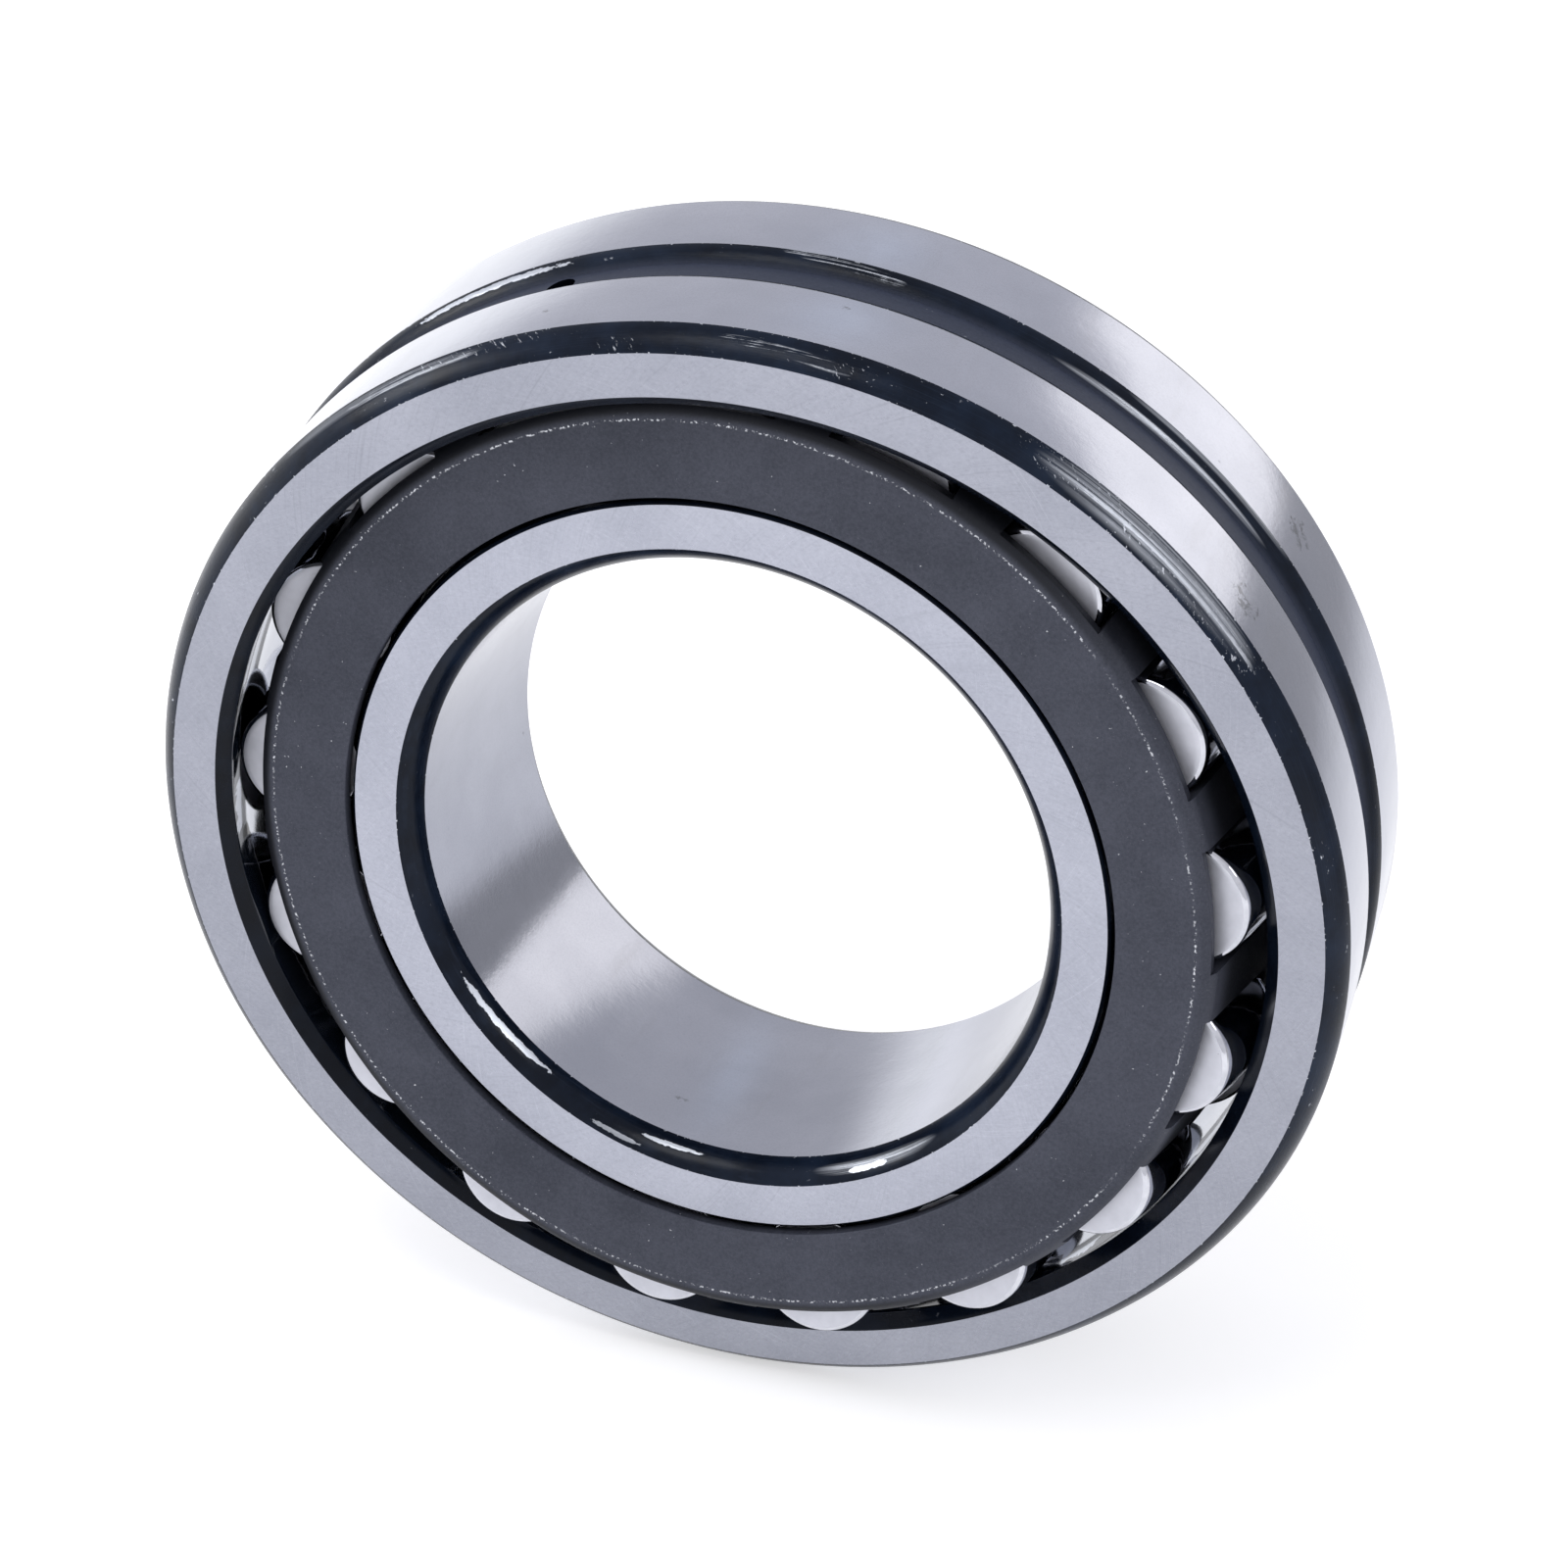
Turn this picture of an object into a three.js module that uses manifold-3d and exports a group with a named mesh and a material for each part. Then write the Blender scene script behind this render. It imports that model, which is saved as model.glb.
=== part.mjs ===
// Double row spherical roller bearing, 65 x 120 x 31 mm, in millimetres, +Z up.
// The bearing stands on its outside diameter: its axis lies along Y, the front face looks along -Y,
// and the origin is the centre of the common raceway sphere.
// The inner ring, cages, rollers and guide ring rest swivelled 6.72 degrees in the outer ring.
import * as THREE from "three";
import { mergeVertices } from "three/addons/utils/BufferGeometryUtils.js";
import Module from "manifold-3d";

// ---- driving dimensions -------------------------------------------------
const OUTSIDE_D = 120; // housing seat diameter
const BORE_D = 65; // shaft seat diameter
const WIDTH = 31; // both rings
const SPHERE_R = 54.25; // outer ring raceway
const EDGE_R = 1.96; // mounting chamfers, radial
const EDGE_AX = 2.6; // mounting chamfers, axial
const OUTER_FACE_IN_R = 53.6; // inner edge of the outer ring's face
const OUTER_LEAD = 1.27; // chamfer from that face to the raceway
const GROOVE_HALF = 3.55; // lubrication groove, half width at the top
const GROOVE_DEPTH = 1.25;
const OIL_HOLE_D = 3;
const OIL_HOLE_DEG = 111.1; // first of three holes, from +X towards +Z
const INNER_FACE_OUT_R = 38.9;
const INNER_LAND_R = 39.2;
const MID_LAND_R = 41.42;
const ROWS = 17; // rollers in each row
const ROLLER_R = 6.67; // at its middle
const ROLLER_LEN = 11.68;
const ROLLER_END_R = 5.88; // flat of the end face
const ROLLER_EDGE = 0.42; // end chamfer, axial
const CENTRE_R = 47.41; // sphere centre to roller centre
const CONTACT_DEG = 9.1; // contact angle
const RACE_GAP = 0.12; // roller to inner raceway
const FRONT_PHASE_DEG = 8.05; // first front roller, from +X towards +Z
const CAGE_IN_R = 39.75; // hole of the cage flange
const CAGE_FACE = 16.0; // outer face of the cage flange, from the middle
const CAGE_T = 1.4; // sheet thickness
const CAGE_BEND = 1.85; // outside radius where the flange turns into the wall
const CAGE_WALL = 2.42; // wall's inside, outward of the roller centres
const CAGE_RIM_Y = 0.4; // the two cages' rims end here
const WINDOW_W = 12.8; // cage window, across the roller
const CUT_R = 49.0; // the windows reach the flange's bend down to this radius
const GUIDE_IN_R = 41.6;
const GUIDE_OUT_R = 49.2;
const GUIDE_HALF_IN = 0.5;
const GUIDE_HALF_OUT = 1.68;
const SWIVEL_DEG = 6.718; // inner assembly out of line with the outer ring
const SWIVEL_AXIS_DEG = 36.38; // direction of the swivel line, from +X towards +Z
const OUTER_SEG = 84;
const INNER_SEG = 68;
const CAGE_SEG = ROWS * 4;
const ROLLER_SEG = 14;

const rad = THREE.MathUtils.degToRad;
const A = rad(CONTACT_DEG);
const PITCH = (2 * Math.PI) / ROWS;

const wasm = await Module();
wasm.setup();

function solid(geometry) {
  const bare = new THREE.BufferGeometry();
  const flat = geometry.index ? geometry.toNonIndexed() : geometry;
  bare.setAttribute("position", flat.getAttribute("position"));
  const g = mergeVertices(bare, 1e-4);
  const made = new wasm.Manifold(
    new wasm.Mesh({
      numProp: 3,
      vertProperties: g.attributes.position.array,
      triVerts: new Uint32Array(g.index.array),
    }),
  );
  if (made.volume() >= 0) return made;
  const t = new Uint32Array(g.index.array);
  for (let i = 0; i < t.length; i += 3) [t[i + 1], t[i + 2]] = [t[i + 2], t[i + 1]];
  return new wasm.Manifold(
    new wasm.Mesh({ numProp: 3, vertProperties: g.attributes.position.array, triVerts: t }),
  );
}

function geometryOf(manifold) {
  const m = manifold.getMesh();
  const v = new Float32Array(m.numVert * 3);
  for (let i = 0; i < m.numVert; i++)
    v.set(m.vertProperties.subarray(i * m.numProp, i * m.numProp + 3), i * 3);
  const g = new THREE.BufferGeometry();
  g.setAttribute("position", new THREE.BufferAttribute(v, 3));
  g.setIndex(new THREE.BufferAttribute(new Uint32Array(m.triVerts), 1));
  g.computeVertexNormals();
  return g;
}

// A closed profile of [radius, y] turned about Y.
function turned(profile, segments, closed = true) {
  const pts = profile.map(([r, y]) => new THREE.Vector2(r, y));
  if (closed) pts.push(pts[0].clone());
  return new THREE.LatheGeometry(pts, segments);
}

const steel = new THREE.MeshStandardMaterial({ color: 0xb4b8c2, metalness: 0.9, roughness: 0.3 });
const bright = new THREE.MeshStandardMaterial({ color: 0xd8dae2, metalness: 1.0, roughness: 0.12 });
const darkSheet = new THREE.MeshStandardMaterial({ color: 0x484a50, metalness: 0.6, roughness: 0.6 });
const greySteel = new THREE.MeshStandardMaterial({ color: 0x6e6f74, metalness: 0.7, roughness: 0.45 });

const root = new THREE.Group();
root.name = "spherical_roller_bearing";
const inner = new THREE.Group();
inner.name = "inner_assembly";
inner.quaternion.setFromAxisAngle(
  new THREE.Vector3(Math.cos(rad(SWIVEL_AXIS_DEG)), 0, Math.sin(rad(SWIVEL_AXIS_DEG))),
  -rad(SWIVEL_DEG),
);
root.add(inner);

function add(parent, name, geometry, material) {
  const mesh = new THREE.Mesh(geometry, material);
  mesh.name = name;
  parent.add(mesh);
  return mesh;
}

// ---- outer ring ---------------------------------------------------------
{
  const H = WIDTH / 2;
  const R = OUTSIDE_D / 2;
  const profile = [];
  const raceY = H - OUTER_LEAD;
  const arc = 6;
  const grow = SPHERE_R / Math.cos(Math.PI / OUTER_SEG) - SPHERE_R + 0.055; // flats stay outside the sphere
  profile.push([R - EDGE_R, -H], [R, -H + EDGE_AX], [R, -GROOVE_HALF]);
  profile.push([R - GROOVE_DEPTH, -GROOVE_HALF * 0.45]);
  profile.push([R - GROOVE_DEPTH, GROOVE_HALF * 0.45]);
  profile.push([R, GROOVE_HALF], [R, H - EDGE_AX], [R - EDGE_R, H]);
  profile.push([OUTER_FACE_IN_R, H]);
  for (let i = 0; i <= arc; i++) {
    const y = raceY - (2 * raceY * i) / arc;
    profile.push([Math.sqrt(SPHERE_R ** 2 - y * y) + grow, y]);
  }
  profile.push([OUTER_FACE_IN_R, -H]);
  let ring = solid(turned(profile, OUTER_SEG));
  for (let k = 0; k < 3; k++) {
    const a = rad(OIL_HOLE_DEG + 120 * k);
    const drill = new THREE.CylinderGeometry(OIL_HOLE_D / 2, OIL_HOLE_D / 2, 12, 12);
    drill.rotateZ(Math.PI / 2); // along X
    drill.translate((SPHERE_R + R) / 2, 0, 0);
    drill.rotateY(-a);
    ring = ring.subtract(solid(drill));
  }
  add(root, "outer_ring", geometryOf(ring), steel);
}

// ---- inner ring ---------------------------------------------------------
{
  const H = WIDTH / 2;
  const r = BORE_D / 2;
  const contact = CENTRE_R - ROLLER_R - RACE_GAP;
  const half = ROLLER_LEN / 2 + 0.1;
  const race = [];
  for (let i = 0; i <= 3; i++) {
    const t = half - (2 * half * i) / 3;
    const d = contact + (t * t) / (2 * SPHERE_R);
    race.push([d * Math.cos(A) - t * Math.sin(A), d * Math.sin(A) + t * Math.cos(A)]);
  }
  const side = [
    [r, H - EDGE_AX],
    [r + EDGE_R, H],
    [INNER_FACE_OUT_R, H],
    [INNER_LAND_R, H - 0.3],
    [INNER_LAND_R, race[0][1] + 0.15],
    ...race,
    [MID_LAND_R, race[3][1] - 0.1],
  ];
  const profile = [...side, ...side.map(([x, y]) => [x, -y]).reverse()];
  add(inner, "inner_ring", geometryOf(solid(turned(profile, INNER_SEG))), steel);
}

// ---- guide ring, loose between the two rows -----------------------------
{
  const profile = [
    [GUIDE_IN_R, -GUIDE_HALF_IN],
    [GUIDE_OUT_R, -GUIDE_HALF_OUT],
    [GUIDE_OUT_R, GUIDE_HALF_OUT],
    [GUIDE_IN_R, GUIDE_HALF_IN],
  ];
  add(inner, "guide_ring", geometryOf(solid(turned(profile, INNER_SEG))), greySteel);
}

// ---- pressed cages ------------------------------------------------------
// A point of the roller's section frame: d outward from the sphere centre, t along the roller.
const section = (d, t) => [d * Math.cos(A) - t * Math.sin(A), d * Math.sin(A) + t * Math.cos(A)];

function cage(side, phase) {
  const din = CENTRE_R + CAGE_WALL;
  const dout = din + CAGE_T;
  const under = CAGE_FACE - CAGE_T;
  const tAt = (d, y) => (y - d * Math.sin(A)) / Math.cos(A); // t where the wall meets a height
  const inTop = section(din, tAt(din, under));
  const corner = section(dout, tAt(dout, CAGE_FACE)); // where face and wall would meet
  const flatEnd = corner[0] - CAGE_BEND / Math.tan((Math.PI / 2 + A) / 2);
  const bend = [0, 1, 2, 3].map((i) => {
    const w = Math.PI / 2 - (i / 3) * (Math.PI / 2 - A);
    return [flatEnd + CAGE_BEND * Math.cos(w), CAGE_FACE - CAGE_BEND + CAGE_BEND * Math.sin(w)];
  });
  const outRim = section(dout, tAt(dout, CAGE_RIM_Y));
  const inRim = section(din, tAt(din, CAGE_RIM_Y));
  const profile = [
    [CAGE_IN_R, under],
    [CAGE_IN_R, CAGE_FACE],
    ...bend,
    outRim,
    inRim,
    inTop,
  ].map(([r, y]) => [r, side * y]);
  let body = solid(turned(profile, CAGE_SEG));
  const tw = ROLLER_LEN / 2 + 0.35;
  const ledge = under - 0.1;
  const prism = (points) => {
    const shape = new THREE.Shape(points.map(([r, y]) => new THREE.Vector2(r, y)));
    const g = new THREE.ExtrudeGeometry(shape, { depth: WINDOW_W, bevelEnabled: false, steps: 1 });
    g.translate(0, 0, -WINDOW_W / 2);
    return solid(g);
  };
  const lower = prism([
    [CUT_R + 6, ledge],
    [47.3, ledge],
    section(din - 0.9, tw - 0.05),
    section(din - 0.9, -tw),
    section(dout + 2.5, -tw),
  ]);
  const core = new THREE.CylinderGeometry(CUT_R, CUT_R, 8, CAGE_SEG * 2);
  core.translate(0, ledge + 2, 0);
  const upper = prism([
    [CUT_R - 3, ledge - 0.02],
    [CUT_R + 6, ledge - 0.02],
    [CUT_R + 6, CAGE_FACE + 1],
    [CUT_R - 3, CAGE_FACE + 1],
  ]).subtract(solid(core));
  let window = lower.add(upper);
  if (side < 0) window = window.mirror([0, 1, 0]);
  for (let k = 0; k < ROWS; k++) {
    body = body.subtract(window.rotate([0, (-(phase + k * PITCH) * 180) / Math.PI, 0]));
  }
  return geometryOf(body);
}
const frontPhase = rad(FRONT_PHASE_DEG);
const backPhase = frontPhase + PITCH / 2; // the rows are staggered by half a pitch
add(inner, "cage_front", cage(-1, frontPhase), darkSheet);
add(inner, "cage_back", cage(1, backPhase), darkSheet);

// ---- rollers ------------------------------------------------------------
const crown = (t) => Math.sqrt((CENTRE_R + ROLLER_R) ** 2 - t * t) - CENTRE_R;
const L2 = ROLLER_LEN / 2;
const rollerProfile = [
  [0, -L2],
  [ROLLER_END_R, -L2],
  [crown(L2 - ROLLER_EDGE), -L2 + ROLLER_EDGE],
  [ROLLER_R, 0],
  [crown(L2 - ROLLER_EDGE), L2 - ROLLER_EDGE],
  [ROLLER_END_R, L2],
  [0, L2],
];
function rollers(side, phase, prefix) {
  for (let k = 0; k < ROWS; k++) {
    const f = phase + k * PITCH;
    const out = new THREE.Vector3(Math.cos(f), 0, Math.sin(f));
    const face = new THREE.Vector3(0, side, 0);
    const axis = out.clone().multiplyScalar(-Math.sin(A)).addScaledVector(face, Math.cos(A));
    const centre = out.clone().multiplyScalar(CENTRE_R * Math.cos(A)).addScaledVector(face, CENTRE_R * Math.sin(A));
    const x = out.clone().multiplyScalar(Math.cos(A)).addScaledVector(face, Math.sin(A));
    const z = new THREE.Vector3().crossVectors(x, axis);
    const geometry = geometryOf(solid(turned(rollerProfile, ROLLER_SEG, false)));
    const mesh = add(inner, prefix + String(k + 1).padStart(2, "0"), geometry, bright);
    mesh.quaternion.setFromRotationMatrix(new THREE.Matrix4().makeBasis(x, axis, z));
    mesh.position.copy(centre);
  }
}
rollers(-1, frontPhase, "roller_front_");
rollers(1, backPhase, "roller_back_");

export default root;
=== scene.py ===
import bpy
import bmesh
import math
import numpy as np
from mathutils import Matrix, Vector


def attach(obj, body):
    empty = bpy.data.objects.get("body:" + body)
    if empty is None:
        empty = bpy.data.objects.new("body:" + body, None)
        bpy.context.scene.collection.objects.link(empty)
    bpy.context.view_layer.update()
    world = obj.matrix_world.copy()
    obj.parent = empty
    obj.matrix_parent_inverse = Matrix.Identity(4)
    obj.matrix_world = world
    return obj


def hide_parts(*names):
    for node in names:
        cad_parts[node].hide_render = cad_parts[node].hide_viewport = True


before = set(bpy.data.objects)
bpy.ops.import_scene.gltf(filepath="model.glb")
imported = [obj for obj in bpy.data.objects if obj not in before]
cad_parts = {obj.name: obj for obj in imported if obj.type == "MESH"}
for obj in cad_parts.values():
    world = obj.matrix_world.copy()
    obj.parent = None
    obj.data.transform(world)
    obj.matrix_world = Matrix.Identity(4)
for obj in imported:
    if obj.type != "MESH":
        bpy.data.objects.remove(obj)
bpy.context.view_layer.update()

# ------------------------------------------------------------------ dimensions, mm
ROWS = 17
PITCH = 2 * math.pi / ROWS
SPHERE_R = 54.25
CENTRE_R = 47.41
ROLLER_R = 6.67
ROLLER_LEN = 11.68
CONTACT = math.radians(9.1)
FRONT_PHASE = math.radians(8.05)
OIL_HOLE = math.radians(111.1)
SWIVEL = math.radians(-6.718)
SWIVEL_AXIS = Vector((math.cos(math.radians(36.38)), 0, math.sin(math.radians(36.38))))
TILT = Matrix.Rotation(SWIVEL, 4, SWIVEL_AXIS)
CA, SA = math.cos(CONTACT), math.sin(CONTACT)

# ------------------------------------------------------------------ camera
cam_data = bpy.data.cameras.new("view")
cam_data.sensor_width = 36
cam_data.lens = 4523.5 / 1600 * 36
cam_data.clip_start = 0.01
cam = bpy.data.objects.new("view", cam_data)
bpy.context.scene.collection.objects.link(cam)
right = Vector((0.95926, 0.28254, 0.0))
down = Vector((0.15481, -0.52559, -0.83654))
ahead = Vector((-0.23635, 0.80245, -0.54791))
m = Matrix.Identity(4)
for i in range(3):
    m[i][0], m[i][1], m[i][2] = right[i], -down[i], -ahead[i]
m.translation = Vector((0.104679, -0.352788, 0.243880))
cam.matrix_world = m
bpy.context.scene.camera = cam


# ------------------------------------------------------------------ mesh helpers (mm, bearing axis along Y)
def arc(p, q, bulge, n):
    """Points from p to q on an arc that stands out by bulge to the left of p->q."""
    (x0, y0), (x1, y1) = p, q
    if abs(bulge) < 1e-6:
        return [(x0 + (x1 - x0) * i / n, y0 + (y1 - y0) * i / n) for i in range(n + 1)]
    c = math.hypot(x1 - x0, y1 - y0)
    R = (c * c / 4 + bulge * bulge) / (2 * abs(bulge))
    mx, my = (x0 + x1) / 2, (y0 + y1) / 2
    nx, ny = -(y1 - y0) / c, (x1 - x0) / c
    s = 1 if bulge > 0 else -1
    cx, cy = mx - s * nx * (R - abs(bulge)), my - s * ny * (R - abs(bulge))
    a0 = math.atan2(y0 - cy, x0 - cx)
    a1 = math.atan2(y1 - cy, x1 - cx)
    d = (a1 - a0 + math.pi) % (2 * math.pi) - math.pi
    return [(cx + R * math.cos(a0 + d * i / n), cy + R * math.sin(a0 + d * i / n)) for i in range(n + 1)]


def fillets(pts, closed=True):
    """pts: (x, y) or (x, y, radius, segments). Rounds the corners that state a radius."""
    out = []
    n = len(pts)
    for i, p in enumerate(pts):
        rad = p[2] if len(p) > 2 else 0
        if rad <= 0 or (not closed and i in (0, n - 1)):
            out.append((p[0], p[1]))
            continue
        seg = p[3] if len(p) > 3 else 3
        a, b, c = np.array(pts[i - 1][:2], float), np.array(p[:2], float), np.array(pts[(i + 1) % n][:2], float)
        u, v = a - b, c - b
        lu, lv = np.linalg.norm(u), np.linalg.norm(v)
        u, v = u / lu, v / lv
        ang = math.acos(max(-1, min(1, float(u @ v))))
        if ang > math.pi - 0.02:
            out.append((p[0], p[1]))
            continue
        t = min(rad / math.tan(ang / 2), 0.48 * lu, 0.48 * lv)
        rr = t * math.tan(ang / 2)
        mid = (u + v) / np.linalg.norm(u + v)
        cen = b + mid * (rr / math.sin(ang / 2))
        s, e = b + u * t - cen, b + v * t - cen
        a0, a1 = math.atan2(s[1], s[0]), math.atan2(e[1], e[0])
        d = (a1 - a0 + math.pi) % (2 * math.pi) - math.pi
        for k in range(seg + 1):
            w = a0 + d * k / seg
            out.append((cen[0] + rr * math.cos(w), cen[1] + rr * math.sin(w)))
    return out


def lathe(profile, seg, closed=True):
    """Vertices and faces of a profile of (r, y) turned about Y, faces outward."""
    prof = np.array(profile, float)
    n = len(prof)
    th = np.arange(seg) * 2 * math.pi / seg
    verts, rows = [], []
    for r, y in prof:
        if abs(r) < 1e-7:
            rows.append([len(verts)])
            verts.append((0, y, 0))
        else:
            rows.append(list(range(len(verts), len(verts) + seg)))
            verts += [(r * math.cos(t), y, r * math.sin(t)) for t in th]
    faces = []
    for i in range(n if closed else n - 1):
        a, b = rows[i], rows[(i + 1) % n]
        for k in range(seg):
            k2 = (k + 1) % seg
            if len(a) == 1 and len(b) == 1:
                continue
            if len(a) == 1:
                faces.append((a[0], b[k], b[k2]))
            elif len(b) == 1:
                faces.append((a[k], b[0], a[k2]))
            else:
                faces.append((a[k], b[k], b[k2], a[k2]))
    return verts, faces


def build(name, verts, faces):
    me = bpy.data.meshes.new(name)
    me.from_pydata([tuple(v) for v in verts], [], faces)
    me.validate()
    bm = bmesh.new()
    bm.from_mesh(me)
    bmesh.ops.recalc_face_normals(bm, faces=bm.faces)
    if bm.calc_volume(signed=True) < 0:
        bmesh.ops.reverse_faces(bm, faces=bm.faces)
    bm.to_mesh(me)
    bm.free()
    return me


def cut(me, tool, name):
    """me minus tool, applied."""
    a = bpy.data.objects.new("tmp_a", me)
    b = bpy.data.objects.new("tmp_b", tool)
    for o in (a, b):
        bpy.context.scene.collection.objects.link(o)
    mod = a.modifiers.new("cut", "BOOLEAN")
    mod.operation = "DIFFERENCE"
    mod.solver = "EXACT"
    mod.object = b
    dg = bpy.context.evaluated_depsgraph_get()
    dg.update()
    out = bpy.data.meshes.new_from_object(a.evaluated_get(dg))
    out.name = name
    bpy.data.objects.remove(a)
    bpy.data.objects.remove(b)
    return out


def coords(me):
    co = np.empty(len(me.vertices) * 3)
    me.vertices.foreach_get("co", co)
    return co.reshape(-1, 3)


def finish_piece(name, me, node, body, mats, region=None, matrix=None, sharp=30.0, seed=0.0):
    """Stores the part's own coordinates in mm as an attribute, picks each face's material, and places it."""
    co = coords(me)
    at = me.attributes.new("part_mm", "FLOAT_VECTOR", "POINT")
    at.data.foreach_set("vector", co.astype(np.float32).ravel())
    sd = me.attributes.new("part_seed", "FLOAT", "POINT")
    sd.data.foreach_set("value", np.full(len(co), seed, np.float32))
    me.materials.clear()
    for mt in mats:
        me.materials.append(mt)
    nf = len(me.polygons)
    cen = np.empty(nf * 3)
    nor = np.empty(nf * 3)
    me.polygons.foreach_get("center", cen)
    me.polygons.foreach_get("normal", nor)
    cen, nor = cen.reshape(-1, 3), nor.reshape(-1, 3)
    idx = np.zeros(nf, np.int32)
    if region is not None:
        r = np.hypot(cen[:, 0], cen[:, 2])
        idx = region(r, cen[:, 1], (nor[:, 0] * cen[:, 0] + nor[:, 2] * cen[:, 2]) / np.maximum(r, 1e-6), nor[:, 1]).astype(np.int32)
    me.polygons.foreach_set("material_index", idx)
    me.polygons.foreach_set("use_smooth", np.ones(nf, bool))
    me.set_sharp_from_angle(angle=math.radians(sharp))
    full = Matrix.Scale(0.001, 4) @ (matrix if matrix is not None else Matrix.Identity(4))
    me.transform(full)
    me.update()
    ob = bpy.data.objects.new(name, me)
    bpy.context.scene.collection.objects.link(ob)
    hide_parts(node)
    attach(ob, body)
    return ob


# ------------------------------------------------------------------ material helpers
class Nodes:
    def __init__(self, name):
        self.mat = bpy.data.materials.new(name)
        self.mat.use_nodes = True
        self.t = self.mat.node_tree
        self.b = self.t.nodes["Principled BSDF"]
        a = self.add("ShaderNodeAttribute")
        a.attribute_name = "part_mm"
        self.p = a.outputs["Vector"]
        s = self.add("ShaderNodeAttribute")
        s.attribute_name = "part_seed"
        self.seed = s.outputs["Fac"]
        sep = self.add("ShaderNodeSeparateXYZ")
        self.link(self.p, sep.inputs[0])
        self.x, self.y, self.z = sep.outputs
        self.r = self.math("SQRT", self.math("ADD", self.math("MULTIPLY", self.x, self.x), self.math("MULTIPLY", self.z, self.z)))

    def add(self, kind, **props):
        n = self.t.nodes.new(kind)
        for k, v in props.items():
            setattr(n, k, v)
        return n

    def link(self, a, b):
        self.t.links.new(a, b)

    def put(self, sock, v):
        if hasattr(v, "is_linked") or isinstance(v, bpy.types.NodeSocket):
            self.link(v, sock)
        else:
            sock.default_value = v

    def math(self, op, a, b=None, c=None, clamp=False):
        n = self.add("ShaderNodeMath", operation=op, use_clamp=clamp)
        self.put(n.inputs[0], a)
        if b is not None:
            self.put(n.inputs[1], b)
        if c is not None:
            self.put(n.inputs[2], c)
        return n.outputs[0]

    def vec(self, x, y, z):
        n = self.add("ShaderNodeCombineXYZ")
        for s, v in zip(n.inputs, (x, y, z)):
            self.put(s, v)
        return n.outputs[0]

    def noise(self, vec, scale=1.0, detail=2.0, rough=0.5, w=None):
        n = self.add("ShaderNodeTexNoise")
        self.put(n.inputs["Vector"], vec)
        n.inputs["Scale"].default_value = scale
        n.inputs["Detail"].default_value = detail
        n.inputs["Roughness"].default_value = rough
        return n.outputs["Fac"]

    def voronoi(self, vec, scale=1.0, feature="F1"):
        n = self.add("ShaderNodeTexVoronoi", feature=feature)
        self.put(n.inputs["Vector"], vec)
        n.inputs["Scale"].default_value = scale
        return n.outputs["Distance"], n.outputs["Color"]

    def range(self, v, a, b, c=0.0, d=1.0, smooth=False):
        n = self.add("ShaderNodeMapRange")
        n.interpolation_type = "SMOOTHSTEP" if smooth else "LINEAR"
        self.put(n.inputs["Value"], v)
        n.inputs["From Min"].default_value = a
        n.inputs["From Max"].default_value = b
        n.inputs["To Min"].default_value = c
        n.inputs["To Max"].default_value = d
        n.clamp = True
        return n.outputs[0]

    def mix(self, fac, a, b):
        n = self.add("ShaderNodeMix", data_type="RGBA")
        self.put(n.inputs[0], fac)
        for s, v in ((n.inputs[6], a), (n.inputs[7], b)):
            if isinstance(v, tuple) and len(v) == 3:
                v = (*v, 1.0)
            self.put(s, v)
        return n.outputs[2]

    def bump(self, height, strength, distance, normal=None):
        n = self.add("ShaderNodeBump")
        n.inputs["Strength"].default_value = strength
        n.inputs["Distance"].default_value = distance
        self.link(height, n.inputs["Height"])
        if normal is not None:
            self.link(normal, n.inputs["Normal"])
        return n.outputs[0]

    def unit(self, turn=None):
        """cos and sin of the place round the axis, shifted by turn (radians) if given."""
        if turn is None:
            return self.math("DIVIDE", self.x, self.r), self.math("DIVIDE", self.z, self.r)
        a = self.math("ADD", self.math("ARCTAN2", self.z, self.x), turn)
        return self.math("COSINE", a), self.math("SINE", a)

    def around(self, k, fine, other=0.0, turn=None):
        """Noise space that is slow round the axis (k) and quick along fine."""
        c, s = self.unit(turn)
        return self.vec(self.math("MULTIPLY", c, k), self.math("MULTIPLY", s, k), self.math("ADD", fine, other) if other else fine)

    def degrees(self):
        """Place round the axis in degrees, -180 to 180, from +X towards +Z."""
        return self.math("MULTIPLY", self.math("ARCTAN2", self.z, self.x), 57.29578)

    def patch(self, ang, t, ht, y0, hy, slope=0.0):
        """1 in the middle of an oval at t degrees and height y0, 0 at its rim, negative outside."""
        da = self.math("SUBTRACT", ang, t)
        mid = self.math("ADD", self.math("MULTIPLY", da, slope), y0) if slope else y0
        a = self.math("DIVIDE", da, ht)
        c = self.math("DIVIDE", self.math("SUBTRACT", self.y, mid), hy)
        a2 = self.math("MULTIPLY", a, a)
        return self.math("SUBTRACT", 1.0, self.math("ADD", self.math("MULTIPLY", a2, a2), self.math("MULTIPLY", c, c)))

    def near(self, re, ye, w):
        """1 at the edge circle (re, +-ye), falling to 0 at distance w."""
        dr = self.math("SUBTRACT", self.r, re)
        dy = self.math("SUBTRACT", self.math("ABSOLUTE", self.y), ye)
        d = self.math("SQRT", self.math("ADD", self.math("MULTIPLY", dr, dr), self.math("MULTIPLY", dy, dy)))
        return self.range(d, 0.0, w, 1.0, 0.0)


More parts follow.
